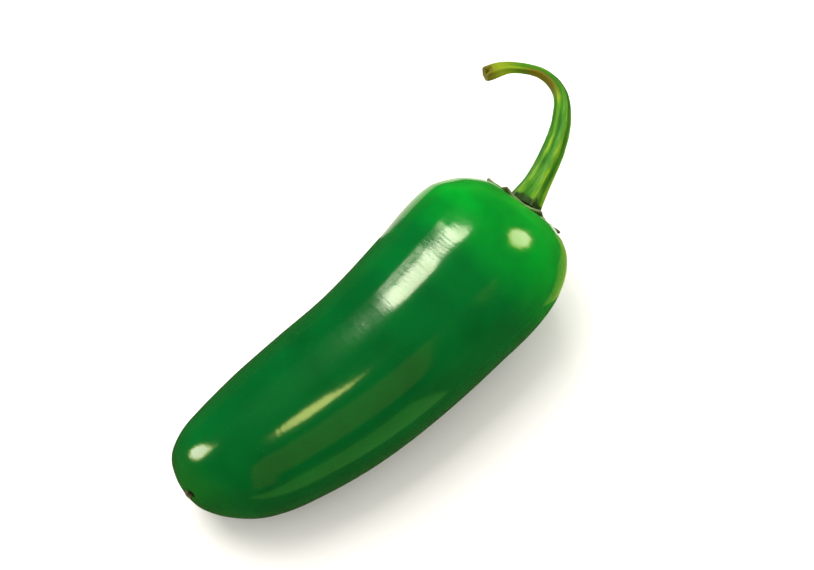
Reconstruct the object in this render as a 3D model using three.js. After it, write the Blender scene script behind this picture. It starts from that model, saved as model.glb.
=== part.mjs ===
// A green jalapeño chilli pepper, as picked, lying on its side on a flat surface.
// Millimetres, +Z up. The origin is the middle of the patch of skin that the pod rests on.
// +X runs from the blossom end to the stem, and the stem's hook curls towards +Y.
// The pepper has four pieces: the pod, the calyx on its crown, the stem, and the dried
// scar of the flower's style at the other end.

import * as THREE from "three";

// The pod's middle line, from the blossom end to the crown. It bows sideways in a shallow C,
// and its last quarter lifts off the surface.
const POD_LINE = [
  [-40.6, 5.1, 12.0],
  [-33.7, 4.9, 12.0],
  [-21.5, 2.3, 13.0],
  [-0.5, 0, 14.5],
  [18.6, 0.9, 15.25],
  [32.0, 2.5, 17.1],
  [40.6, 4.1, 18.9],
];

// The pod's outline: distance along the middle line, and radius there. It starts in the
// dimple of the blossom end and closes in the shallow dish of the crown.
const POD_OUTLINE = [
  [0.9, 0],
  [0.35, 0.9],
  [0.3, 2.0],
  [1.1, 4.5],
  [3.4, 7.8],
  [8, 10.5],
  [16, 12.8],
  [29, 14.3],
  [44, 14.7],
  [57, 15.3],
  [67, 15.9],
  [73.5, 15.2],
  [78.2, 12.7],
  [80.6, 9.4],
  [81.0, 7.4],
  [80.2, 5.0],
  [79.6, 2.5],
  [79.4, 0],
];

// Three soft lobes run down from the crown and fade out towards the blossom end.
const POD_LOBES = 3;
const POD_LOBE_DEPTH = 0.014; // share of the radius, at the crown
const POD_LOBE_TURN = 0.75; // radians from the +Y side to the first lobe's ridge
const POD_LOBE_FADE = [22, 66]; // where along the pod the lobes begin, and where they are full

// The pod's back is fuller than its outline says, in one broad belly that faces up.
const BELLY_HEIGHT = 2.1;
const BELLY_AT = 52.0; // where along the pod it is highest
const BELLY_REACH = 25.0;
const BELLY_TURN = 1.4; // radians from the +Y side to its middle
const BELLY_SPAN = 1.09; // radians
const BELLY_RIM = [2, 9]; // the radii at which the belly begins, and where it is full

// The dish's rim dips between the lobes, and the calyx dips with it.
const CROWN_DIP = 0.5;
const CROWN_DIP_FADE = [68, 80]; // where along the pod the dip begins, and where it is full
const CROWN_DIP_RIM = 6; // the radius from which the dip is full

// The calyx: a thin cap sunk in the crown's dish, 0.3 mm clear of the pod. Its teeth reach
// over the dish's rim: angle from the +Y side in degrees, and reach from the middle.
const CALYX_TEETH = [
  [30, 8.0],
  [75, 8.2],
  [132, 8.1],
  [190, 8.9],
  [247, 8.4],
  [308, 8.2],
];
const CALYX_TOOTH_WIDTH = 22; // degrees to either side, at the foot of a tooth
const CALYX_RADIUS = 6.2; // to the bottom of the bays between the teeth
const CALYX_CORE = 4; // the radius inside which no tooth widens the cap
const CALYX_TOOTH_TAPER = 1.3; // 1 gives straight sides, and more gives a finer point
const CALYX_OUTLINE = [
  [79.8, 0],
  [80.1, 2.6],
  [80.85, 4.8],
  [81.4, 6.1],
  [81.65, 6.2],
  [81.8, 5.9],
  [81.5, 4.6],
  [81.25, 3.2],
  [81.2, 0],
];

// The stem's middle line: out of the calyx, then round in a hook that rises as it turns back.
const STEM_LINE = [
  [40.4, 3.55, 18.7],
  [45.7, 5.1, 19.3],
  [51.7, 7.4, 20.6],
  [56.6, 10.3, 22.0],
  [59.9, 14.2, 23.4],
  [59.8, 19.1, 24.6],
  [56.0, 23.7, 25.4],
  [51.2, 25.6, 26.05],
];

// The stem's outline: distance from its foot, and radius there. It flares at the foot and
// swells again into the knuckle where it broke from the plant.
const STEM_OUTLINE = [
  [0, 0],
  [0, 3.1],
  [2.6, 2.75],
  [6, 2.3],
  [12, 2.05],
  [18, 1.7],
  [23.5, 1.3],
  [29, 1.05],
  [33.5, 1.08],
  [36.7, 1.4],
  [38.9, 1.5],
  [39.6, 1.2],
  [39.4, 0],
];
const STEM_RIBS = 6;
const STEM_RIB_DEPTH = 0.07; // share of the radius
const STEM_RIB_TURN = 1.05; // radians

// The dried scar of the style, in the dimple of the blossom end.
const SCAR_OUTLINE = [
  [-0.35, 0],
  [-0.25, 0.55],
  [0.0, 0.7],
  [0.25, 0.5],
  [0.45, 0],
];

// How finely each piece is faceted: steps along it, and steps around it.
const POD_STEPS = [52, 44];
const CALYX_STEPS = [20, 72];
const STEM_STEPS = [44, 20];
const SCAR_STEPS = [6, 12];

const POD_GREEN = 0x0a7a26;
const CALYX_GREEN = 0x3f7a22;
const STEM_GREEN = 0x5f9a1e;
const SCAR_BROWN = 0x4a3418;

const UP = new THREE.Vector3(0, 0, 1);

function splineThrough(points) {
  const knots = points.map(([x, y, z = 0]) => new THREE.Vector3(x, y, z));
  return new THREE.CatmullRomCurve3(knots, false, "catmullrom", 0.5);
}

// An outline given as [distance, radius] becomes a lathe's profile: x is the radius, y the distance.
function smoothProfile(outline, steps) {
  return splineThrough(outline)
    .getPoints(steps)
    .map((p) => new THREE.Vector2(Math.max(p.y, 0), p.x));
}

// The stem's corners at its two cut ends stay sharp, so only its side is smoothed.
function stemProfile(outline, steps) {
  const first = outline[0];
  const last = outline[outline.length - 1];
  const side = smoothProfile(outline.slice(1, -1), steps);
  return [new THREE.Vector2(first[1], first[0]), ...side, new THREE.Vector2(last[1], last[0])];
}

// Where the point at a distance along a middle line is, with the two directions across the
// line there: one level, one upright. Past either end the line runs on straight.
function frameAt(line, length, distance) {
  const inside = THREE.MathUtils.clamp(distance, 0, length);
  const forward = line.getTangentAt(inside / length);
  const centre = line.getPointAt(inside / length).addScaledVector(forward, distance - inside);
  const level = new THREE.Vector3().crossVectors(UP, forward).normalize();
  const upright = new THREE.Vector3().crossVectors(forward, level);
  return { centre, level, upright };
}

// Turns a profile into a solid of revolution, then lays it along a middle line. shape(radius,
// angle, distance) gives the radius and distance that the point there moves to. The angle is
// from the level direction.
function turnAlong(line, profile, around, shape) {
  const length = line.getLength();
  const solid = new THREE.LatheGeometry(profile, around);
  const position = solid.getAttribute("position");
  for (let i = 0; i < position.count; i++) {
    const [x, y, z] = [position.getX(i), position.getY(i), position.getZ(i)];
    const angle = Math.atan2(x, z);
    const [radius, distance] = shape(Math.hypot(x, z), angle, y);
    const { centre, level, upright } = frameAt(line, length, distance);
    centre.addScaledVector(level, radius * Math.cos(angle));
    centre.addScaledVector(upright, radius * Math.sin(angle));
    position.setXYZ(i, centre.x, centre.y, centre.z);
  }
  solid.computeVertexNormals();
  return solid;
}

// The pod's own weight presses its skin flat where it meets the surface.
function pressFlat(solid) {
  const position = solid.getAttribute("position");
  for (let i = 0; i < position.count; i++) position.setZ(i, Math.max(position.getZ(i), 0));
  return solid;
}

function lobeWave(angle) {
  return Math.cos(POD_LOBES * (angle - POD_LOBE_TURN));
}

function crownDip(radius, angle, distance) {
  const alongPod = THREE.MathUtils.smoothstep(distance, ...CROWN_DIP_FADE);
  const fromMiddle = THREE.MathUtils.smoothstep(radius, 0, CROWN_DIP_RIM);
  return CROWN_DIP * alongPod * fromMiddle * (0.5 - lobeWave(angle) / 2);
}

function belly(radius, angle, distance) {
  const turn = angle - BELLY_TURN;
  const around = Math.atan2(Math.sin(turn), Math.cos(turn)) / BELLY_SPAN;
  const along = (distance - BELLY_AT) / BELLY_REACH;
  const fromMiddle = THREE.MathUtils.smoothstep(radius, ...BELLY_RIM);
  return BELLY_HEIGHT * fromMiddle * Math.exp(-(along ** 2) - around ** 2);
}

function lobed(radius, angle, distance) {
  const depth = POD_LOBE_DEPTH * THREE.MathUtils.smoothstep(distance, ...POD_LOBE_FADE);
  const full = radius * (1 + depth * lobeWave(angle)) + belly(radius, angle, distance);
  return [full, distance - crownDip(radius, angle, distance)];
}

// How far a tooth stands out of the cap's round edge in one direction. It narrows to a point.
function toothLength(angle) {
  let length = 0;
  for (const [direction, reach] of CALYX_TEETH) {
    const turn = Math.abs(THREE.MathUtils.radToDeg(angle) - direction);
    const offCentre = Math.min(turn, Math.abs(turn - 360)) / CALYX_TOOTH_WIDTH;
    length = Math.max(length, (reach - CALYX_RADIUS) * Math.max(1 - offCentre, 0) ** CALYX_TOOTH_TAPER);
  }
  return length;
}

function toothed(radius, angle, distance) {
  const tooth = toothLength(angle) * THREE.MathUtils.smoothstep(radius, CALYX_CORE, CALYX_RADIUS);
  return [radius + tooth, distance - crownDip(radius, angle, distance)];
}

function ribbed(radius, angle, distance) {
  const wave = Math.cos(STEM_RIBS * (angle - STEM_RIB_TURN));
  return [radius * (1 + STEM_RIB_DEPTH * wave), distance];
}

const plain = (radius, angle, distance) => [radius, distance];

function piece(name, geometry, colour, roughness) {
  const material = new THREE.MeshStandardMaterial({ color: colour, roughness, metalness: 0 });
  const mesh = new THREE.Mesh(geometry, material);
  mesh.name = name;
  return mesh;
}

function makePod(line) {
  const [along, around] = POD_STEPS;
  return pressFlat(turnAlong(line, smoothProfile(POD_OUTLINE, along), around, lobed));
}

function makeCalyx(line) {
  const [along, around] = CALYX_STEPS;
  return turnAlong(line, smoothProfile(CALYX_OUTLINE, along), around, toothed);
}

function makeStem(line) {
  const [along, around] = STEM_STEPS;
  return turnAlong(line, stemProfile(STEM_OUTLINE, along), around, ribbed);
}

function makeScar(line) {
  const [along, around] = SCAR_STEPS;
  return turnAlong(line, smoothProfile(SCAR_OUTLINE, along), around, plain);
}

const podLine = splineThrough(POD_LINE);
const stemLine = splineThrough(STEM_LINE);

const pepper = new THREE.Group();
pepper.add(
  piece("pod", makePod(podLine), POD_GREEN, 0.2),
  piece("calyx", makeCalyx(podLine), CALYX_GREEN, 0.6),
  piece("stem", makeStem(stemLine), STEM_GREEN, 0.45),
  piece("blossom_scar", makeScar(podLine), SCAR_BROWN, 0.9),
);

export default pepper;
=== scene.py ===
import math

import bpy
import numpy as np
from mathutils import Matrix, Vector, noise


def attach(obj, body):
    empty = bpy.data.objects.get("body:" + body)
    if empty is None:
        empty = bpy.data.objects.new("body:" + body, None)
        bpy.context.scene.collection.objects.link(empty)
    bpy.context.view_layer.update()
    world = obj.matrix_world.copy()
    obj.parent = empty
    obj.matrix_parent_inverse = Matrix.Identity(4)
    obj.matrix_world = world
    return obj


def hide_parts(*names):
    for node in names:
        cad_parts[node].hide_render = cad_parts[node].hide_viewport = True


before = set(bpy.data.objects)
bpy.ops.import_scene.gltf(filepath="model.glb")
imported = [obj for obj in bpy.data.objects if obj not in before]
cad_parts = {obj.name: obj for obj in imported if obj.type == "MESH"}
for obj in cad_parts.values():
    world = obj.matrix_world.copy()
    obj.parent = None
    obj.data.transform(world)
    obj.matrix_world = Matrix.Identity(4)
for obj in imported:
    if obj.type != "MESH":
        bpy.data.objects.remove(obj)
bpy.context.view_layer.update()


# The pod: the fruit itself, a firm green jalapeño that lies on its side. Its skin is thin,
# taut and waxed by the plant, so it shines like lacquer, and it grew in three soft lobes.

MM = 0.001
CURVE_STEPS = 900
POD_LINE = [
    (-40.6, 5.1, 12.0),
    (-33.7, 4.9, 12.0),
    (-21.5, 2.3, 13.0),
    (-0.5, 0.0, 14.5),
    (18.6, 0.9, 15.25),
    (32.0, 2.5, 17.1),
    (40.6, 4.1, 18.9),
]
# Distance along the middle line, and radius there, from the blossom end to the crown.
POD_OUTLINE = [
    (0.9, 0),
    (0.35, 0.9),
    (0.3, 2.0),
    (1.1, 4.5),
    (3.4, 7.8),
    (8, 10.5),
    (16, 12.8),
    (29, 14.3),
    (44, 14.7),
    (57, 15.3),
    (67, 15.9),
    (73.5, 15.2),
    (78.2, 12.7),
    (80.6, 9.4),
    (81.0, 7.4),
    (80.2, 5.0),
    (79.6, 2.5),
    (79.4, 0),
]
POD_LENGTH = 82
POD_STEPS = (300, 220)  # steps along the pod, and round it
LOBES = 3
LOBE_DEPTH = 0.014  # share of the radius, at the crown
LOBE_TURN = 0.75  # radians from the level +Y side to the first lobe's ridge
LOBE_FADE = (22, 66)  # where along the pod the lobes begin, and where they are full
# The crown's rim dips between the lobes: how far, and where along the pod and out from its
# middle the dip begins and is full.
CROWN_DIP = 0.5
CROWN_DIP_FADE = (68, 80)
CROWN_DIP_RIM = (0, 6)
# Soft random swellings in the skin, and shorter ripples on them, in mm.
SWELL_DEPTH = 0.025
SWELL_WIDTH = 9.0
RIPPLE_DEPTH = 0.012
RIPPLE_WIDTH = (3.0, 4.5, 4.5)
RELIEF_RIM = (2, 9)  # the radii at which the relief begins, and where it is full
# The back is fuller than the outline says, in a broad belly and a slight bulge on it. Each has
# a place and a reach, in mm along the pod and radians round it.
BELLY_AT = (52, 1.4)
BELLY_REACH = (25, 1.09)
BELLY_HEIGHT = 2.1
BULGE_AT = (46.3, 1.84)
BULGE_REACH = (4.1, 0.81)
BULGE_HEIGHT = 0.104
# A small dark pit beside the blossom scar: how far it is from the pod's middle, level and
# upright.
PIT_AT = (-0.75, 1.5)
PIT_WIDTH = 0.7
PIT_DEPTH = 0.8


def smooth_curve(knots, steps):
    """Points on a smooth curve through the knots, which runs on straight past its ends."""
    knots = np.array(knots, float)
    ends = np.vstack([2 * knots[0] - knots[1], knots, 2 * knots[-1] - knots[-2]])
    t = np.linspace(0, len(knots) - 1, steps + 1)
    i = np.minimum(t.astype(int), len(knots) - 2)
    f = (t - i)[:, None]
    a, b, c, d = (ends[i + k] for k in range(4))
    bend = 2 * a - 5 * b + 4 * c - d
    twist = 3 * b - a - 3 * c + d
    return b + (f * (c - a) + f**2 * bend + f**3 * twist) / 2


def smooth_step(value, low, high):
    t = np.clip((value - low) / (high - low), 0, 1)
    return t * t * (3 - 2 * t)


def lay_along(line, distance, radius, angle):
    """Places points given by distance, radius and angle round a curved middle line."""
    curve = smooth_curve(line, CURVE_STEPS)
    gaps = np.linalg.norm(np.diff(curve, axis=0), axis=1)
    reached = np.concatenate([[0], np.cumsum(gaps)])
    heading = np.gradient(curve, reached, axis=0)
    inside = np.clip(distance, 0, reached[-1])
    centre = np.stack([np.interp(inside, reached, curve[:, k]) for k in range(3)], -1)
    forward = np.stack([np.interp(inside, reached, heading[:, k]) for k in range(3)], -1)
    forward /= np.linalg.norm(forward, axis=-1, keepdims=True)
    centre += forward * (distance - inside)[..., None]
    level = np.cross([0.0, 0.0, 1.0], forward)
    level /= np.linalg.norm(level, axis=-1, keepdims=True)
    upright = np.cross(forward, level)
    across = level * np.cos(angle)[..., None] + upright * np.sin(angle)[..., None]
    return centre + radius[..., None] * across


def turned_grid(outline, along, around):
    """The distance, radius and angle of a turned solid's corners: rows along, columns round."""
    profile = smooth_curve(outline, along)
    angle = np.linspace(0, 2 * math.pi, around, endpoint=False)
    distance = np.repeat(profile[:, :1], around, axis=1)
    radius = np.repeat(np.maximum(profile[:, 1:2], 0), around, axis=1)
    return distance, radius, np.repeat(angle[None, :], len(profile), axis=0)


def straight_place(distance, radius, angle):
    """Where a corner was before its piece was bent: distance along it, then level and upright."""
    return np.stack([distance, radius * np.cos(angle), radius * np.sin(angle)], -1)


def skin_mesh(name, places, straight):
    """A closed mesh over rows of corners whose first and last rows each shrink to one point.
    straight keeps where each corner was before the piece was bent, for the patterns on it."""
    rows, columns = places.shape[:2]
    inner = places[1:-1].reshape(-1, 3)
    corners = np.vstack([places[0].mean(0), inner, places[-1].mean(0)])
    last = len(corners) - 1
    ring = np.arange(columns)
    after = (ring + 1) % columns
    faces = [(0, 1 + b, 1 + a) for a, b in zip(ring, after)]
    for row in range(rows - 3):
        low = 1 + row * columns
        high = low + columns
        faces += [(low + a, low + b, high + b, high + a) for a, b in zip(ring, after)]
    end = 1 + (rows - 3) * columns
    faces += [(end + a, end + b, last) for a, b in zip(ring, after)]
    mesh = bpy.data.meshes.new(name)
    mesh.from_pydata((corners * MM).tolist(), [], faces)
    mesh.shade_smooth()
    inner_before = straight[1:-1].reshape(-1, 3)
    before = np.vstack([straight[0].mean(0), inner_before, straight[-1].mean(0)])
    mesh.attributes.new("straight", "FLOAT_VECTOR", "POINT")
    mesh.attributes["straight"].data.foreach_set("vector", before.ravel())
    return mesh


def swell(places, width):
    """Smooth random swellings from -1 to 1, about as far apart as width."""
    flat = (places / np.array(width)).reshape(-1, 3)
    return np.array([noise.noise(Vector(p)) for p in flat]).reshape(places.shape[:-1])


def hump(distance, angle, at, reach):
    """A smooth hump of height 1, at a distance and angle, that reaches so far along and round."""
    along = (distance - at[0]) / reach[0]
    around = ((angle - at[1] + math.pi) % (2 * math.pi) - math.pi) / reach[1]
    return np.exp(-(along**2) - around**2)


def crown_dip(distance, radius, angle):
    """How far the crown's rim sinks back into the pod between the lobes."""
    valley = 0.5 - np.cos(LOBES * (angle - LOBE_TURN)) / 2
    off_middle = smooth_step(radius, *CROWN_DIP_RIM)
    return CROWN_DIP * valley * smooth_step(distance, *CROWN_DIP_FADE) * off_middle


def pod_mesh():
    distance, radius, angle = turned_grid(POD_OUTLINE, *POD_STEPS)
    straight = straight_place(distance, radius, angle)
    off_pit = np.hypot(straight[..., 1] - PIT_AT[0], straight[..., 2] - PIT_AT[1])
    pit = PIT_DEPTH * np.exp(-((off_pit / PIT_WIDTH) ** 2)) * (distance <= POD_LENGTH / 2)
    reach = distance - crown_dip(distance, radius, angle) + pit
    depth = LOBE_DEPTH * smooth_step(distance, *LOBE_FADE)
    lobed = radius * (1 + depth * np.cos(LOBES * (angle - LOBE_TURN)))
    relief = SWELL_DEPTH * swell(straight, SWELL_WIDTH)
    relief += RIPPLE_DEPTH * swell(straight, RIPPLE_WIDTH)
    relief += BELLY_HEIGHT * hump(distance, angle, BELLY_AT, BELLY_REACH)
    relief += BULGE_HEIGHT * hump(distance, angle, BULGE_AT, BULGE_REACH)
    lobed += relief * smooth_step(radius, *RELIEF_RIM)
    places = lay_along(POD_LINE, reach, lobed, angle)
    # The pod's own weight presses its skin flat where it meets the floor.
    places[..., 2] = np.maximum(places[..., 2], 0)
    return skin_mesh("pod_skin", places, straight)


def linear(hex_colour):
    """An sRGB hex colour as linear red, green, blue and alpha."""
    parts = [int(hex_colour[i:i + 2], 16) / 255 for i in (1, 3, 5)]
    return [c / 12.92 if c <= 0.04045 else ((c + 0.055) / 1.055) ** 2.4 for c in parts] + [1.0]


def set_stops(ramp, stops):
    """Sets a colour ramp's stops from pairs of a place and a hex colour or a grey's share."""
    while len(ramp.elements) > 1:
        ramp.elements.remove(ramp.elements[-1])
    for k, (place, shade) in enumerate(stops):
        element = ramp.elements[0] if k == 0 else ramp.elements.new(place)
        element.position = place
        element.color = linear(shade) if isinstance(shade, str) else (shade, shade, shade, 1)


def add(tree, kind, settings=None, **links):
    """Adds a node with its settings and links. A setting is a property, a socket (its name or
    number after a #) or a ramp's stops. A link is named for its socket, as Base_Color or _0."""
    node = tree.nodes.new(kind)
    for name, value in (settings or {}).items():
        if name == "stops":
            set_stops(node.color_ramp, value)
        elif name.startswith("#"):
            key = name[1:]
            node.inputs[int(key) if key.isdigit() else key].default_value = value
        else:
            setattr(node, name, value)
    for name, source in links.items():
        key = name.strip("_")
        socket = node.inputs[int(key) if key.isdigit() else key.replace("_", " ")]
        tree.links.new(source, socket)
    return node


def empty_material(name):
    """A new material, and its empty node tree."""
    material = bpy.data.materials.new(name)
    material.use_nodes = True
    material.node_tree.nodes.clear()
    return material, material.node_tree


# Waxed plant skin, as grown: deep green under a clear film of wax, with some painted light and
# shade in its greens. The film mirrors a lamp as a bright yellowish patch, which the fine
# wrinkles in it break up.
# The greens from the blossom end to the crown: partly the skin's own tone and partly painted light
# that brightens the crown end.
SKIN_GREENS_WITH_PAINTED_LIGHT = [
    (0.0, "#105a18"),
    (0.06, "#00541c"),
    (0.16, "#004c1a"),
    (0.5, "#00501c"),
    (0.76, "#005a1f"),
    (0.9, "#00861f"),
    (1.0, "#108c20"),
]
SKIN_CLOUD_WIDTH = 9.0  # mm from one darker cloud of green to the next
SKIN_CLOUD_RANGE = (0.4, 0.7)  # the noise where a cloud begins, and where it is darkest
SKIN_CLOUD_SHARE = 0.35
# Pale specks 1.1 mm apart. On a real skin they are finer, and here they are drawn so that
# they show.
SPECK_SPACING = 1.1
SPECK_EDGE = (0.04, 0.14)  # shares of the spacing
SPECK_SHARE = 0.14
# The painted shade in the pit, a near-black patch where the hollow is dark: its middle, along
# the pod and then level and upright, and the distances from there at which it begins and is full.
PIT_SHADE_AT = (0.4, *PIT_AT)
PIT_SHADE_EDGE = (0.95, 0.6)
WRINKLES_PER_MM = (1.5, 0.6, 0.6)  # along the pod, then across it
WRINKLE_DEPTH = 0.015

# A Mix node that mixes colours takes its share at socket 0 and its colours at 6 and 7, and
# gives the result at output 2.
OF_COLOURS = {"data_type": "RGBA"}
# A Map Range node takes its value at socket 0, the range it comes from at 1 and 2, and the
# range it goes to at 3 and 4.
SMOOTHLY = {"interpolation_type": "SMOOTHSTEP"}


def waxed_green_skin():
    material, tree = empty_material("waxed_green_skin")
    straight = add(tree, "ShaderNodeAttribute", {"attribute_name": "straight"}).outputs["Vector"]
    split = add(tree, "ShaderNodeSeparateXYZ", _0=straight)
    share = add(tree, "ShaderNodeMath", {"operation": "DIVIDE", "#1": POD_LENGTH}, _0=split.outputs[0])
    # The green along the pod, brightened towards the crown by painted light.
    green = add(tree, "ShaderNodeValToRGB", {"stops": SKIN_GREENS_WITH_PAINTED_LIGHT}, _0=share.outputs[0])
    cloud = add(tree, "ShaderNodeTexNoise", {
        "#Scale": 1 / SKIN_CLOUD_WIDTH,
        "#Detail": 2.0,
    }, Vector=straight)
    dark = add(tree, "ShaderNodeMapRange", {
        "#1": SKIN_CLOUD_RANGE[0],
        "#2": SKIN_CLOUD_RANGE[1],
        "#3": 0.0,
        "#4": SKIN_CLOUD_SHARE,
    }, _0=cloud.outputs[0])
    mottled = add(tree, "ShaderNodeMix", {**OF_COLOURS, "#7": linear("#003412")},
                  _0=dark.outputs[0], _6=green.outputs[0])
    cells = add(tree, "ShaderNodeTexVoronoi", {"#Scale": 1 / SPECK_SPACING}, Vector=straight)
    speck = add(tree, "ShaderNodeMapRange", {
        "#1": SPECK_EDGE[0],
        "#2": SPECK_EDGE[1],
        "#3": SPECK_SHARE,
        "#4": 0.0,
    }, _0=cells.outputs["Distance"])
    speckled = add(tree, "ShaderNodeMix", {**OF_COLOURS, "#7": linear("#3a8a3c")},
                   _0=speck.outputs[0], _6=mottled.outputs[2])
    # Painted shade: the pit beside the scar is coloured near black.
    off_pit_shade = add(tree, "ShaderNodeVectorMath", {
        "operation": "DISTANCE",
        "#1": PIT_SHADE_AT,
    }, _0=straight)
    pit_shade = add(tree, "ShaderNodeMapRange", {
        **SMOOTHLY,
        "#1": PIT_SHADE_EDGE[0],
        "#2": PIT_SHADE_EDGE[1],
    }, _0=off_pit_shade.outputs["Value"])
    pit_shaded = add(tree, "ShaderNodeMix", {**OF_COLOURS, "#7": linear("#0a0802")},
                  _0=pit_shade.outputs[0], _6=speckled.outputs[2])
    stretch = add(tree, "ShaderNodeMapping", {"#Scale": WRINKLES_PER_MM}, Vector=straight)
    wrinkle = add(tree, "ShaderNodeTexNoise", {
        "#Scale": 1.0,
        "#Detail": 3.0,
        "#Roughness": 0.6,
    }, Vector=stretch.outputs[0])
    bump = add(tree, "ShaderNodeBump", {
        "#Strength": 1.0,
        "#Distance": WRINKLE_DEPTH * MM,
    }, Height=wrinkle.outputs[0])
    skin = add(tree, "ShaderNodeBsdfPrincipled", {
        "#Roughness": 0.125,
        "#IOR": 1.45,
        "#Specular Tint": (1.0, 1.0, 0.5, 1.0),
    }, Base_Color=pit_shaded.outputs[2], Normal=bump.outputs[0])
    add(tree, "ShaderNodeOutputMaterial", Surface=skin.outputs[0])
    return material


def place_piece(name, mesh, material, slot, *nodes):
    """Makes a piece of a mesh, in one material, that stands for these CAD nodes."""
    mesh.materials.append(material)
    piece = bpy.data.objects.new(name, mesh)
    bpy.context.scene.collection.objects.link(piece)
    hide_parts(*nodes)
    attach(piece, "root")


place_piece("pod_skin", pod_mesh(), waxed_green_skin(), "pod_skin", "pod")


# The calyx: what is left of the flower's green cup, a thin leathery cap grown onto the pod's
# crown. Its teeth dried to brown points as the pod grew.

# The way each tooth points, in degrees from the level +Y side, and its reach in mm.
CALYX_TEETH = [(30, 8.0), (75, 8.2), (132, 8.1), (190, 8.9), (247, 8.4), (308, 8.2)]
CALYX_TOOTH_WIDTH = 22  # degrees to either side, at the foot of a tooth
CALYX_TOOTH_TAPER = 1.3  # 1 gives straight sides, and more gives a finer point
CALYX_RADIUS = 6.2  # to the bottom of the bays between the teeth
CALYX_CORE = 4  # the radius inside which no tooth widens the cap
CALYX_OUTLINE = [
    (79.7, 0),
    (80.0, 2.6),
    (80.7, 4.8),
    (81.3, 6.1),
    (81.6, 6.2),
    (81.8, 5.9),
    (81.6, 4.6),
    (81.7, 3.2),
    (81.7, 0),
]
CALYX_STEPS = (90, 360)
CALYX_CURL = 0.0375  # mm that a tooth 1 mm long lifts, and one of 2 mm lifts four times that
# A vein runs out along the middle of each tooth, and small lumps cover the cap. Both fade
# in between two radii.
CALYX_VEIN_HEIGHT = 0.15
CALYX_VEIN_WIDTH = 5  # degrees
CALYX_VEIN_FADE = (2.5, 4.5)
CALYX_LUMP_HEIGHT = 0.15
CALYX_LUMP_WIDTH = 0.8
CALYX_LUMP_FADE = (2, 4)


def calyx_mesh():
    distance, radius, angle = turned_grid(CALYX_OUTLINE, *CALYX_STEPS)
    tooth = np.zeros_like(angle)
    vein = np.zeros_like(angle)
    for direction, reach in CALYX_TEETH:
        turn = (np.degrees(angle) - direction + 180) % 360 - 180
        narrow = np.maximum(1 - np.abs(turn) / CALYX_TOOTH_WIDTH, 0) ** CALYX_TOOTH_TAPER
        tooth = np.maximum(tooth, (reach - CALYX_RADIUS) * narrow)
        vein = np.maximum(vein, np.exp(-((turn / CALYX_VEIN_WIDTH) ** 2)))
    off_core = smooth_step(radius, CALYX_CORE, CALYX_RADIUS)
    toothed = radius + tooth * off_core
    straight = straight_place(distance, toothed, angle)
    lumps = swell(straight, CALYX_LUMP_WIDTH) * smooth_step(radius, *CALYX_LUMP_FADE)
    lift = CALYX_CURL * tooth**2 * off_core
    lift += CALYX_VEIN_HEIGHT * vein * smooth_step(radius, *CALYX_VEIN_FADE)
    lift += CALYX_LUMP_HEIGHT * lumps
    reach = distance + lift - crown_dip(distance, toothed, angle)
    return skin_mesh("calyx_cap", lay_along(POD_LINE, reach, toothed, angle), straight)


# Leathery plant cup, dried on the plant: dark green round the stem, paler towards its rim, and
# brown at the tips of its teeth, where it has gone hard like a thorn.
CALYX_COLOURS = [
    (0.3, "#0c3008"),
    (0.45, "#164010"),
    (0.6, "#2f5c16"),
    (0.76, "#5e7a3a"),
    (0.9, "#50562e"),
    (0.98, "#34200f"),
]
CALYX_COLOURS_REACH = 9.0  # mm from the stem's middle to the end of the colours
CALYX_GRAIN = 1.2  # mm from one fleck to the next
CALYX_FLECK_SHIFT = 0.8  # mm that a fleck moves the colours in or out, at most
CALYX_GRAIN_DEPTH = 0.15


def leathery_calyx():
    material, tree = empty_material("leathery_green_calyx")
    straight = add(tree, "ShaderNodeAttribute", {"attribute_name": "straight"}).outputs["Vector"]
    flat = add(tree, "ShaderNodeVectorMath", {
        "operation": "MULTIPLY",
        "#1": (0.0, 1.0, 1.0),
    }, _0=straight)
    radius = add(tree, "ShaderNodeVectorMath", {"operation": "LENGTH"}, _0=flat.outputs[0])
    grain = add(tree, "ShaderNodeTexNoise", {
        "#Scale": 1 / CALYX_GRAIN,
        "#Detail": 4.0,
        "#Roughness": 0.6,
    }, Vector=straight)
    shift = add(tree, "ShaderNodeMath", {
        "operation": "MULTIPLY_ADD",
        "#1": 2 * CALYX_FLECK_SHIFT,
        "#2": -CALYX_FLECK_SHIFT,
    }, _0=grain.outputs[0])
    place = add(tree, "ShaderNodeMath", {"operation": "ADD"},
                _0=radius.outputs["Value"], _1=shift.outputs[0])
    share = add(tree, "ShaderNodeMath", {
        "operation": "DIVIDE",
        "#1": CALYX_COLOURS_REACH,
    }, _0=place.outputs[0])
    colour = add(tree, "ShaderNodeValToRGB", {"stops": CALYX_COLOURS}, _0=share.outputs[0])
    relief = add(tree, "ShaderNodeBump", {
        "#Strength": 1.0,
        "#Distance": CALYX_GRAIN_DEPTH * MM,
    }, Height=grain.outputs[0])
    skin = add(tree, "ShaderNodeBsdfPrincipled", {"#Roughness": 0.6, "#IOR": 1.4},
               Base_Color=colour.outputs[0], Normal=relief.outputs[0])
    add(tree, "ShaderNodeOutputMaterial", Surface=skin.outputs[0])
    return material


place_piece("calyx_cap", calyx_mesh(), leathery_calyx(), "calyx_green", "calyx")


# The stem: the stalk that the pod hung from, tough and ribbed. It grew in a hook, and its far
# end is the swollen joint where it snapped from the plant and dried brown.

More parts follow.
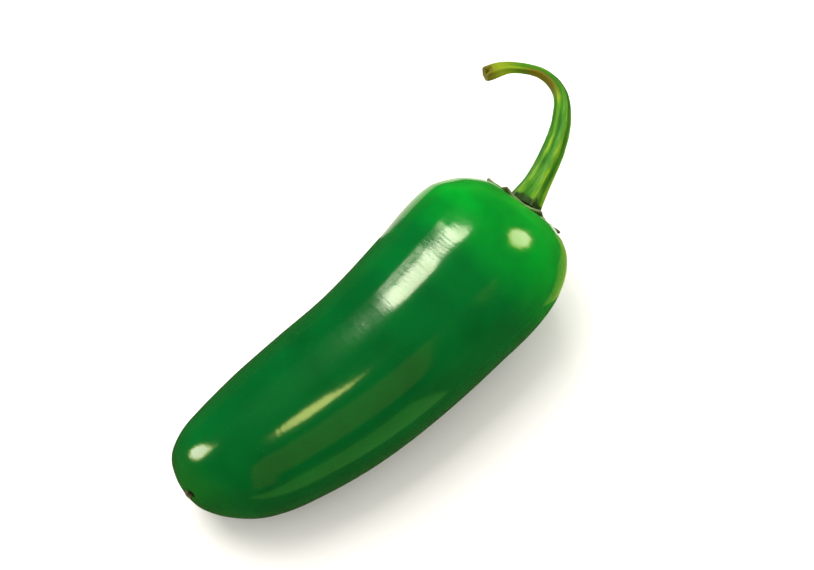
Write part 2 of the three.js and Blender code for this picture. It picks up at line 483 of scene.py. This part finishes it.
STEM_LINE = [
    (40.4, 3.55, 18.7),
    (45.7, 5.1, 19.3),
    (51.7, 7.4, 20.6),
    (56.6, 10.3, 22.0),
    (59.9, 14.2, 23.4),
    (59.8, 19.1, 24.6),
    (56.0, 23.7, 25.4),
    (51.2, 25.6, 26.05),
]
STEM_OUTLINE = [
    (-0.3, 0),
    (-0.3, 1.5),
    (-0.3, 3.1),
    (0.2, 3.15),
    (2.6, 2.75),
    (6, 2.3),
    (12, 2.05),
    (18, 1.7),
    (23.5, 1.3),
    (29, 1.05),
    (33.5, 1.08),
    (36.7, 1.4),
    (38.9, 1.5),
    (39.6, 1.2),
    (39.45, 0.6),
    (39.4, 0),
]
STEM_STEPS = (480, 120)
STEM_RIBS = 6
STEM_RIB_DEPTH = 0.07  # share of the radius
STEM_RIB_TURN = 1.05  # radians
STEM_RELIEF_RIM = (0, 1)  # the radii at which the relief begins, and where it is full
# The notch in the snapped end: its turn and width in radians, where along the stem it
# begins and is full, and how far it goes back along the stem and in towards its middle.
STEM_NOTCH_AT = 1.65
STEM_NOTCH_WIDTH = 0.4
STEM_NOTCH_FADE = (37.8, 39.2)
STEM_NOTCH_DEPTH = 0.8
STEM_NOTCH_SINK = 0.3
# Fine grooves along the stem, with a crust as fine both ways on the joint at its end.
BARK_DEPTH = 0.05
BARK_WIDTH = (1.6, 0.5, 0.5)
CRUST_WIDTH = 0.5
CRUST_FADE = (37, 39)


def stem_mesh():
    distance, radius, angle = turned_grid(STEM_OUTLINE, *STEM_STEPS)
    straight = straight_place(distance, radius, angle)
    on_side = smooth_step(radius, *STEM_RELIEF_RIM)
    ribbed = radius * (1 + STEM_RIB_DEPTH * np.cos(STEM_RIBS * (angle - STEM_RIB_TURN)))
    notch = np.exp(-(((angle - STEM_NOTCH_AT) / STEM_NOTCH_WIDTH) ** 2))
    notch *= smooth_step(distance, *STEM_NOTCH_FADE)
    ribbed -= STEM_NOTCH_SINK * notch * on_side
    bark = swell(straight, BARK_WIDTH)
    bark += smooth_step(distance, *CRUST_FADE) * swell(straight, CRUST_WIDTH)
    ribbed += BARK_DEPTH * bark * on_side
    reach = distance - STEM_NOTCH_DEPTH * notch
    return skin_mesh("stem_stalk", lay_along(STEM_LINE, reach, ribbed, angle), straight)


# Plant stalk, as grown: juicy green with long paler streaks and ribs. It has dried brown in a
# patch on its bend and over the corky joint at its end, and its foot is dark green.
STALK_GREENS = [
    (0.3, "#145c08"),
    (0.44, "#286a04"),
    (0.58, "#487c04"),
    (0.76, "#78960e"),
]
STREAKS_PER_MM = (0.15, 1.1, 1.1)  # along the stem, then across it
STREAK_DEPTH = 0.05
RIB_PALENESS = 0.13
# The brown patch on the bend: mm along the stem where it begins and ends, and radians round
# it to its middle and from there to its edge. In each pair it is full at the second number.
PATCH_START = (21.0, 26.0)
PATCH_END = (34.5, 29.0)
PATCH_TURN = 0.75
PATCH_EDGE = (1.0, 0.4)
PALE_FADE = (31.0, 37.0)  # where along the stem the green turns paler
STALK_REACH = (-1.0, 41.0)  # mm along the stem
# How green the stalk stays near its end, at shares of its reach.
STALK_KEPT = [
    (0.9, 1.0),
    (0.93, 0.5),
    (0.955, 0.0),
]
STALK_WEAR = 0.25  # how much the streaks add to that or take from it, at most
# The foot's dark green: mm along the stem where its edge fades, and how far up it is ragged.
FOOT_EDGE = (0.6, -0.6)
FOOT_RAGGEDNESS = 2.5


def ribbed_stalk():
    material, tree = empty_material("ribbed_green_stalk")
    straight = add(tree, "ShaderNodeAttribute", {"attribute_name": "straight"}).outputs["Vector"]
    split = add(tree, "ShaderNodeSeparateXYZ", _0=straight)
    reach = split.outputs[0]
    turn = add(tree, "ShaderNodeMath", {"operation": "ARCTAN2"},
               _0=split.outputs[2], _1=split.outputs[1])
    wave = add(tree, "ShaderNodeMath", {
        "operation": "MULTIPLY_ADD",
        "#1": float(STEM_RIBS),
        "#2": -STEM_RIBS * STEM_RIB_TURN,
    }, _0=turn.outputs[0])
    rib = add(tree, "ShaderNodeMath", {"operation": "COSINE"}, _0=wave.outputs[0])
    stretch = add(tree, "ShaderNodeMapping", {"#Scale": STREAKS_PER_MM}, Vector=straight)
    streak = add(tree, "ShaderNodeTexNoise", {
        "#Scale": 1.0,
        "#Detail": 3.0,
        "#Roughness": 0.6,
    }, Vector=stretch.outputs[0])
    mixed = add(tree, "ShaderNodeMath", {"operation": "MULTIPLY_ADD", "#1": RIB_PALENESS},
                _0=rib.outputs[0], _2=streak.outputs[0])
    green = add(tree, "ShaderNodeValToRGB", {"stops": STALK_GREENS}, _0=mixed.outputs[0])

    bend = add(tree, "ShaderNodeMapRange", {
        **SMOOTHLY,
        "#1": PATCH_START[0],
        "#2": PATCH_START[1],
    }, _0=reach)
    unbend = add(tree, "ShaderNodeMapRange", {
        **SMOOTHLY,
        "#1": PATCH_END[0],
        "#2": PATCH_END[1],
    }, _0=reach)
    off_turn = add(tree, "ShaderNodeMath", {
        "operation": "SUBTRACT",
        "#1": PATCH_TURN,
    }, _0=turn.outputs[0])
    away = add(tree, "ShaderNodeMath", {"operation": "ABSOLUTE"}, _0=off_turn.outputs[0])
    side = add(tree, "ShaderNodeMapRange", {
        **SMOOTHLY,
        "#1": PATCH_EDGE[0],
        "#2": PATCH_EDGE[1],
    }, _0=away.outputs[0])
    where = add(tree, "ShaderNodeMath", {"operation": "MULTIPLY"},
                _0=bend.outputs[0], _1=unbend.outputs[0])
    patch = add(tree, "ShaderNodeMath", {"operation": "MULTIPLY"},
                _0=where.outputs[0], _1=side.outputs[0])
    dried = add(tree, "ShaderNodeMix", {**OF_COLOURS, "#7": linear("#5e5208")},
                _0=patch.outputs[0], _6=green.outputs[0])

    late = add(tree, "ShaderNodeMapRange", {
        **SMOOTHLY,
        "#1": PALE_FADE[0],
        "#2": PALE_FADE[1],
    }, _0=reach)
    pale = add(tree, "ShaderNodeMix", {**OF_COLOURS, "#7": linear("#76880a")},
               _0=late.outputs[0], _6=dried.outputs[2])
    share = add(tree, "ShaderNodeMapRange", {
        "#1": STALK_REACH[0],
        "#2": STALK_REACH[1],
    }, _0=reach)
    kept = add(tree, "ShaderNodeValToRGB", {"stops": STALK_KEPT}, _0=share.outputs[0])
    worn = add(tree, "ShaderNodeMath", {
        "operation": "MULTIPLY_ADD",
        "#1": 2 * STALK_WEAR,
        "#2": -STALK_WEAR,
    }, _0=streak.outputs[0])
    fresh = add(tree, "ShaderNodeMath", {"operation": "ADD", "use_clamp": True},
                _0=kept.outputs[0], _1=worn.outputs[0])
    whole = add(tree, "ShaderNodeMix", {**OF_COLOURS, "#6": linear("#5e580a")},
                _0=fresh.outputs[0], _7=pale.outputs[2])

    blot = add(tree, "ShaderNodeTexNoise", {"#Scale": 1.0, "#Detail": 3.0}, Vector=straight)
    ragged = add(tree, "ShaderNodeMath", {
        "operation": "MULTIPLY_ADD",
        "#1": -FOOT_RAGGEDNESS,
    }, _0=blot.outputs[0], _2=reach)
    foot = add(tree, "ShaderNodeMapRange", {
        **SMOOTHLY,
        "#1": FOOT_EDGE[0],
        "#2": FOOT_EDGE[1],
    }, _0=ragged.outputs[0])
    footed = add(tree, "ShaderNodeMix", {**OF_COLOURS, "#7": linear("#143206")},
                 _0=foot.outputs[0], _6=whole.outputs[2])

    grain = add(tree, "ShaderNodeBump", {
        "#Strength": 1.0,
        "#Distance": STREAK_DEPTH * MM,
    }, Height=streak.outputs[0])
    skin = add(tree, "ShaderNodeBsdfPrincipled", {
        "#Roughness": 0.42,
        "#IOR": 1.3,
        "#Specular Tint": (0.9, 1.0, 0.5, 1.0),
    }, Base_Color=footed.outputs[2], Normal=grain.outputs[0])
    add(tree, "ShaderNodeOutputMaterial", Surface=skin.outputs[0])
    return material


place_piece("stem_stalk", stem_mesh(), ribbed_stalk(), "stem_green", "stem")


# The blossom scar: a crumb of dead cork in the dimple at the pod's tip, where the flower's
# style fell off. It is grown onto the skin, dry and crusted.

SCAR_OUTLINE = [(0.0, 0), (0.0, 0.7), (0.25, 1.0), (0.5, 0.7), (0.7, 0)]
SCAR_STEPS = (40, 60)
SCAR_CRUST = 0.25  # mm along the pod, and share of the radius
SCAR_CRUST_WIDTH = 0.45


def scar_mesh():
    distance, radius, angle = turned_grid(SCAR_OUTLINE, *SCAR_STEPS)
    straight = straight_place(distance, radius, angle)
    crust = SCAR_CRUST * swell(straight, SCAR_CRUST_WIDTH)
    crusted = radius * (1 + crust)
    places = lay_along(POD_LINE, distance + crust, crusted, angle)
    return skin_mesh("scar_crumb", places, straight)


# Cork, dried on the plant: dull and crumbly, with pale grains in dark brown.
CORK_COLOURS = [
    (0.4, "#1c1404"),
    (0.62, "#5c5024"),
]
CORK_GRAIN = 0.3  # mm from one grain to the next


def dry_cork():
    material, tree = empty_material("dry_cork")
    straight = add(tree, "ShaderNodeAttribute", {"attribute_name": "straight"}).outputs["Vector"]
    grain = add(tree, "ShaderNodeTexNoise", {
        "#Scale": 1 / CORK_GRAIN,
        "#Detail": 4.0,
    }, Vector=straight)
    colour = add(tree, "ShaderNodeValToRGB", {"stops": CORK_COLOURS}, _0=grain.outputs[0])
    skin = add(tree, "ShaderNodeBsdfPrincipled", {"#Roughness": 0.9, "#IOR": 1.5},
               Base_Color=colour.outputs[0])
    add(tree, "ShaderNodeOutputMaterial", Surface=skin.outputs[0])
    return material


place_piece("scar_crumb", scar_mesh(), dry_cork(), "scar_cork", "blossom_scar")


# The floor: a wide sheet of matt white card, lit until it shows plain white. The wax mirrors it
# as a dim painted glow, and mirrors brighter painted reflections that lie on it where an edge
# of the pepper shines.

FLOOR_SIZE = 3.0  # metres
FLOOR_PAINTED_REFLECTION = 0.07
FLOOR_PAINTED_REFLECTION_TINT = (0.9, 1, 0.4)
CARD_LIFT = 0.0003  # metres, so that no card lies in the floor's own plane
# Corners are in mm. A glow is a painted reflection's brightness, and a tint its red, green and blue.
PAINTED_FLOOR_REFLECTIONS = {
    "painted_reflection_behind_crown": dict(
        corners=[(22, 18), (62, 18), (57, 42), (50, 55), (40, 70), (31, 68), (26, 50), (23, 36)],
        glow=1.1,
        tint=(1, 1, 0.8),
    ),
    "painted_reflection_past_crown": dict(
        corners=[(44, -1), (62, -1), (62, 17), (44, 17)],
        glow=1.6,
        tint=(1, 1, 0.8),
    ),
    "painted_reflection_under_shoulder": dict(
        corners=[(40, -30), (70, -30), (70, -2), (40, -2)],
        glow=0.6,
        tint=(0.9, 1, 0.2),
    ),
    "painted_reflection_in_front": dict(
        corners=[(-75, -165), (12, -165), (12, -38), (-75, -38)],
        glow=0.9,
        tint=(0.35, 1, 0.2),
    ),
}


def square(half):
    return [(-half, -half), (half, -half), (half, half), (-half, half)]


def flat_card(name, corners, surface):
    """A flat staged card in one material."""
    mesh = bpy.data.meshes.new(name)
    mesh.from_pydata([tuple(corner) for corner in corners], [], [tuple(range(len(corners)))])
    mesh.materials.append(surface)
    card = bpy.data.objects.new(name, mesh)
    bpy.context.scene.collection.objects.link(card)
    return card


# Cloth or card in an even light, and the floor's painted reflections: it glows in one tint all over,
# with no shading of its own.
def glowing_cloth(name, glow, tint):
    material, tree = empty_material(name)
    light = add(tree, "ShaderNodeEmission", {"#Color": (*tint, 1), "#Strength": glow})
    add(tree, "ShaderNodeOutputMaterial", Surface=light.outputs[0])
    return material


# Uncoated card, pressed smooth: an even off-white with no shine. In the wax it shows only as a
# dim yellowish glow, a painted reflection in place of the card itself.
def matt_white_card():
    material, tree = empty_material("matt_white_card")
    path = add(tree, "ShaderNodeLightPath")
    card = add(tree, "ShaderNodeBsdfPrincipled", {
        "#Base Color": linear("#ece9e1"),
        "#Roughness": 0.9,
    })
    # Painted reflection: what glossy rays see of the floor is this dim glow.
    painted_floor_glow = add(tree, "ShaderNodeEmission", {
        "#Color": (*FLOOR_PAINTED_REFLECTION_TINT, 1),
        "#Strength": FLOOR_PAINTED_REFLECTION,
    })
    seen = add(tree, "ShaderNodeMixShader",
               _0=path.outputs["Is Glossy Ray"], _1=card.outputs[0], _2=painted_floor_glow.outputs[0])
    add(tree, "ShaderNodeOutputMaterial", Surface=seen.outputs[0])
    return material


flat_card("floor", [(x, y, 0) for x, y in square(FLOOR_SIZE / 2)], matt_white_card())
# Each of these glows only in the wax: hidden from the camera, lighting nothing and casting no shadow,
# it is a painted reflection that makes an edge of the pepper shine.
for name, card in PAINTED_FLOOR_REFLECTIONS.items():
    places = [(x * MM, y * MM, CARD_LIFT) for x, y in card["corners"]]
    lying = flat_card(name, places, glowing_cloth(name, card["glow"], card["tint"]))
    lying.visible_camera = False
    lying.visible_diffuse = False
    lying.visible_shadow = False


# The lights: cloth softboxes round the pepper. What the wax mirrors is a softbox's own cloth, so
# its place and cut make one highlight. Two more lamps light the colours and leave no highlight.

# The point on the pepper where each highlight is, in mm, and the way from there to its light.
BACK = dict(at=(14.3, 2.2, 30.1), towards=(0.12, 0.53, 0.84))
SHOULDER = dict(at=(30.9, -4.8, 30.1), towards=(0.73, -0.32, 0.57))
SIDE = dict(at=(-16.8, -3.2, 26.6), towards=(-0.15, -0.3, 0.945))
TIP = dict(at=(-35.1, 6.7, 21.1), towards=(-0.7, 0.66, 0.26))
FRONT = dict(at=(-10, -9, 25), towards=(-0.3, -0.83, 0.5))
FRONT_END = dict(at=(-10, -9, 25), towards=(-0.62, -0.78, 0.1))
ALL_OVER = dict(at=(0, 0, 0), towards=(0.05, 0.5, 0.86))
FROM_FRONT = dict(at=(0, 0, 0), towards=(-0.5, -0.75, 0.35))

# Each cloth's distance in metres, its brightness and tint, and its corners in mm in its own
# plane. One at the same point a little nearer or further makes a brighter or dimmer part.
SOFTBOXES = {
    # The long highlight down the back: its body, its brighter edge and its dimmer end.
    "back_strip": dict(
        BACK,
        away=1.0,
        glow=20.0,
        tint=(1, 1, 1.4),
        cut=[(50, -150), (44, -60), (40, 40), (12, 180), (-34, 310), (-100, 345), (-190, 340),
             (-215, 290), (-130, 89), (-71, -40), (20, -150)],
    ),
    "back_strip_edge": dict(
        BACK,
        away=0.99,
        glow=30.0,
        tint=(1, 1, 1.5),
        cut=[(48, -140), (44, -60), (40, 40), (8, 180), (-34, 280), (-80, 290), (-40, 40),
             (20, -140)],
    ),
    "back_strip_side": dict(
        BACK,
        away=1.0,
        glow=14.0,
        tint=(1, 1, 1.4),
        cut=[(35, -380), (66, -380), (56, -150), (5, -150)],
    ),
    # The highlight on the shoulder by the stem, and its dim yellowish rim.
    "stem_side": dict(
        SHOULDER,
        away=1.0,
        glow=14.0,
        tint=(1, 0.95, 1),
        cut=[(75, -370), (240, -360), (265, -200), (180, -10), (25, 170), (-170, 170), (-240, 0),
             (-160, -200)],
    ),
    "stem_side_rim": dict(
        SHOULDER,
        away=1.01,
        glow=5.0,
        tint=(1, 1, 0.3),
        cut=[(85, -425), (283, -413), (313, -221), (211, 7), (25, 223), (-209, 223), (-293, 19),
             (-197, -221)],
    ),
    # The thin highlight along the front.
    "overhead": dict(
        SIDE,
        away=0.3,
        turn=-12,
        glow=13.0,
        tint=(1, 1, 0.6),
        cut=[(-72, -25), (-50, -45), (-20, -50), (0, -45), (20, -32), (46, -24), (46, -10),
             (20, -6), (0, 0), (-34, 5), (-72, 5)],
    ),
    # The highlight at the blossom end, and its dim yellowish rim.
    "tip_side": dict(
        TIP,
        away=1.0,
        glow=16.0,
        tint=(1, 1, 1.3),
        cut=[(-150, -160), (30, -160), (240, 10), (170, 200), (50, 340), (-120, 190), (-170, 10)],
    ),
    "tip_side_rim": dict(
        TIP,
        away=1.01,
        glow=5.0,
        tint=(1, 1, 0.3),
        cut=[(-190, -215), (35, -215), (297, -2), (210, 235), (60, 410), (-152, 222), (-215, -2)],
    ),
    # The brownish band low along the front.
    "front_card": dict(
        FRONT,
        away=1.0,
        glow=0.42,
        tint=(1, 0.7, 0.3),
        cut=[(-550, -200), (-480, -310), (550, -310), (550, 310), (-400, 310), (-550, 180)],
    ),
    "front_card_end": dict(
        FRONT_END,
        away=1.0,
        glow=0.35,
        tint=(1, 0.8, 0.3),
        cut=[(-150, -200), (150, -200), (150, 200), (-90, 200), (-150, 120)],
    ),
}
WHITE = (1, 1, 1)
LAMPS = {
    "key_lamp": dict(ALL_OVER, away=1.2, glow=6.8, tint=WHITE, cut=square(500)),
    "front_fill": dict(FROM_FRONT, away=1.2, glow=1.2, tint=WHITE, cut=square(450)),
}


def softbox(name, at, towards, away, glow, tint, cut, turn=0):
    """A lit cloth panel that faces a point on the pepper, and is hidden from the camera."""
    direction = Vector(towards).normalized()
    upright = direction.to_track_quat("Z", "Y").to_matrix()
    facing = upright @ Matrix.Rotation(math.radians(turn), 3, "Z")
    centre = Vector(at) * MM + direction * away
    places = [centre + facing @ Vector((u * MM, v * MM, 0)) for u, v in cut]
    panel = flat_card(name, places, glowing_cloth(name, glow, tint))
    panel.visible_camera = False
    return panel


for name, box in SOFTBOXES.items():
    softbox(name, **box).visible_diffuse = False
for name, box in LAMPS.items():
    softbox(name, **box).visible_glossy = False


# The room: even white light from all round, and a white backdrop behind the pepper. The wax
# mirrors it as nearly black, so that only the cloths and cards shine in it.

ROOM_LIGHT = 1.2
ROOM_IN_WAX = 0.02
BACKDROP = 1.2


def room():
    world = bpy.data.worlds.new("studio")
    world.use_nodes = True
    tree = world.node_tree
    tree.nodes.clear()
    path = add(tree, "ShaderNodeLightPath")
    light, dark, backdrop = (
        add(tree, "ShaderNodeBackground", {"#Color": (*WHITE, 1), "#Strength": strength})
        for strength in (ROOM_LIGHT, ROOM_IN_WAX, BACKDROP)
    )
    shine = add(tree, "ShaderNodeMixShader",
                _0=path.outputs["Is Glossy Ray"], _1=light.outputs[0], _2=dark.outputs[0])
    seen = add(tree, "ShaderNodeMixShader",
               _0=path.outputs["Is Camera Ray"], _1=shine.outputs[0], _2=backdrop.outputs[0])
    add(tree, "ShaderNodeOutputWorld", Surface=seen.outputs[0])
    bpy.context.scene.world = world


room()
bpy.context.scene.view_settings.view_transform = "Standard"


# The camera: a long lens that looks down on the pepper, far enough off that one pixel of the
# picture is a known size at the pepper.

CAMERA_AZIMUTH = math.radians(-43)
CAMERA_ELEVATION = math.radians(65)
CAMERA_LENS = 110
CAMERA_NEAR = 0.01
SENSOR_WIDTH = 36
PICTURE_WIDTH = 814
PIXEL_SIZE = 0.185 * MM
LOOK_AT = Vector((16.59, 9.35, 10.0)) * MM


def camera():
    back = Vector((
        math.sin(CAMERA_AZIMUTH) * math.cos(CAMERA_ELEVATION),
        -math.cos(CAMERA_AZIMUTH) * math.cos(CAMERA_ELEVATION),
        math.sin(CAMERA_ELEVATION),
    ))
    distance = PIXEL_SIZE * CAMERA_LENS / SENSOR_WIDTH * PICTURE_WIDTH
    data = bpy.data.cameras.new("camera")
    data.lens = CAMERA_LENS
    data.sensor_width = SENSOR_WIDTH
    data.clip_start = CAMERA_NEAR
    eye = bpy.data.objects.new("camera", data)
    eye.location = LOOK_AT + back * distance
    eye.rotation_euler = back.to_track_quat("Z", "Y").to_euler()
    bpy.context.scene.collection.objects.link(eye)
    bpy.context.scene.camera = eye


camera()
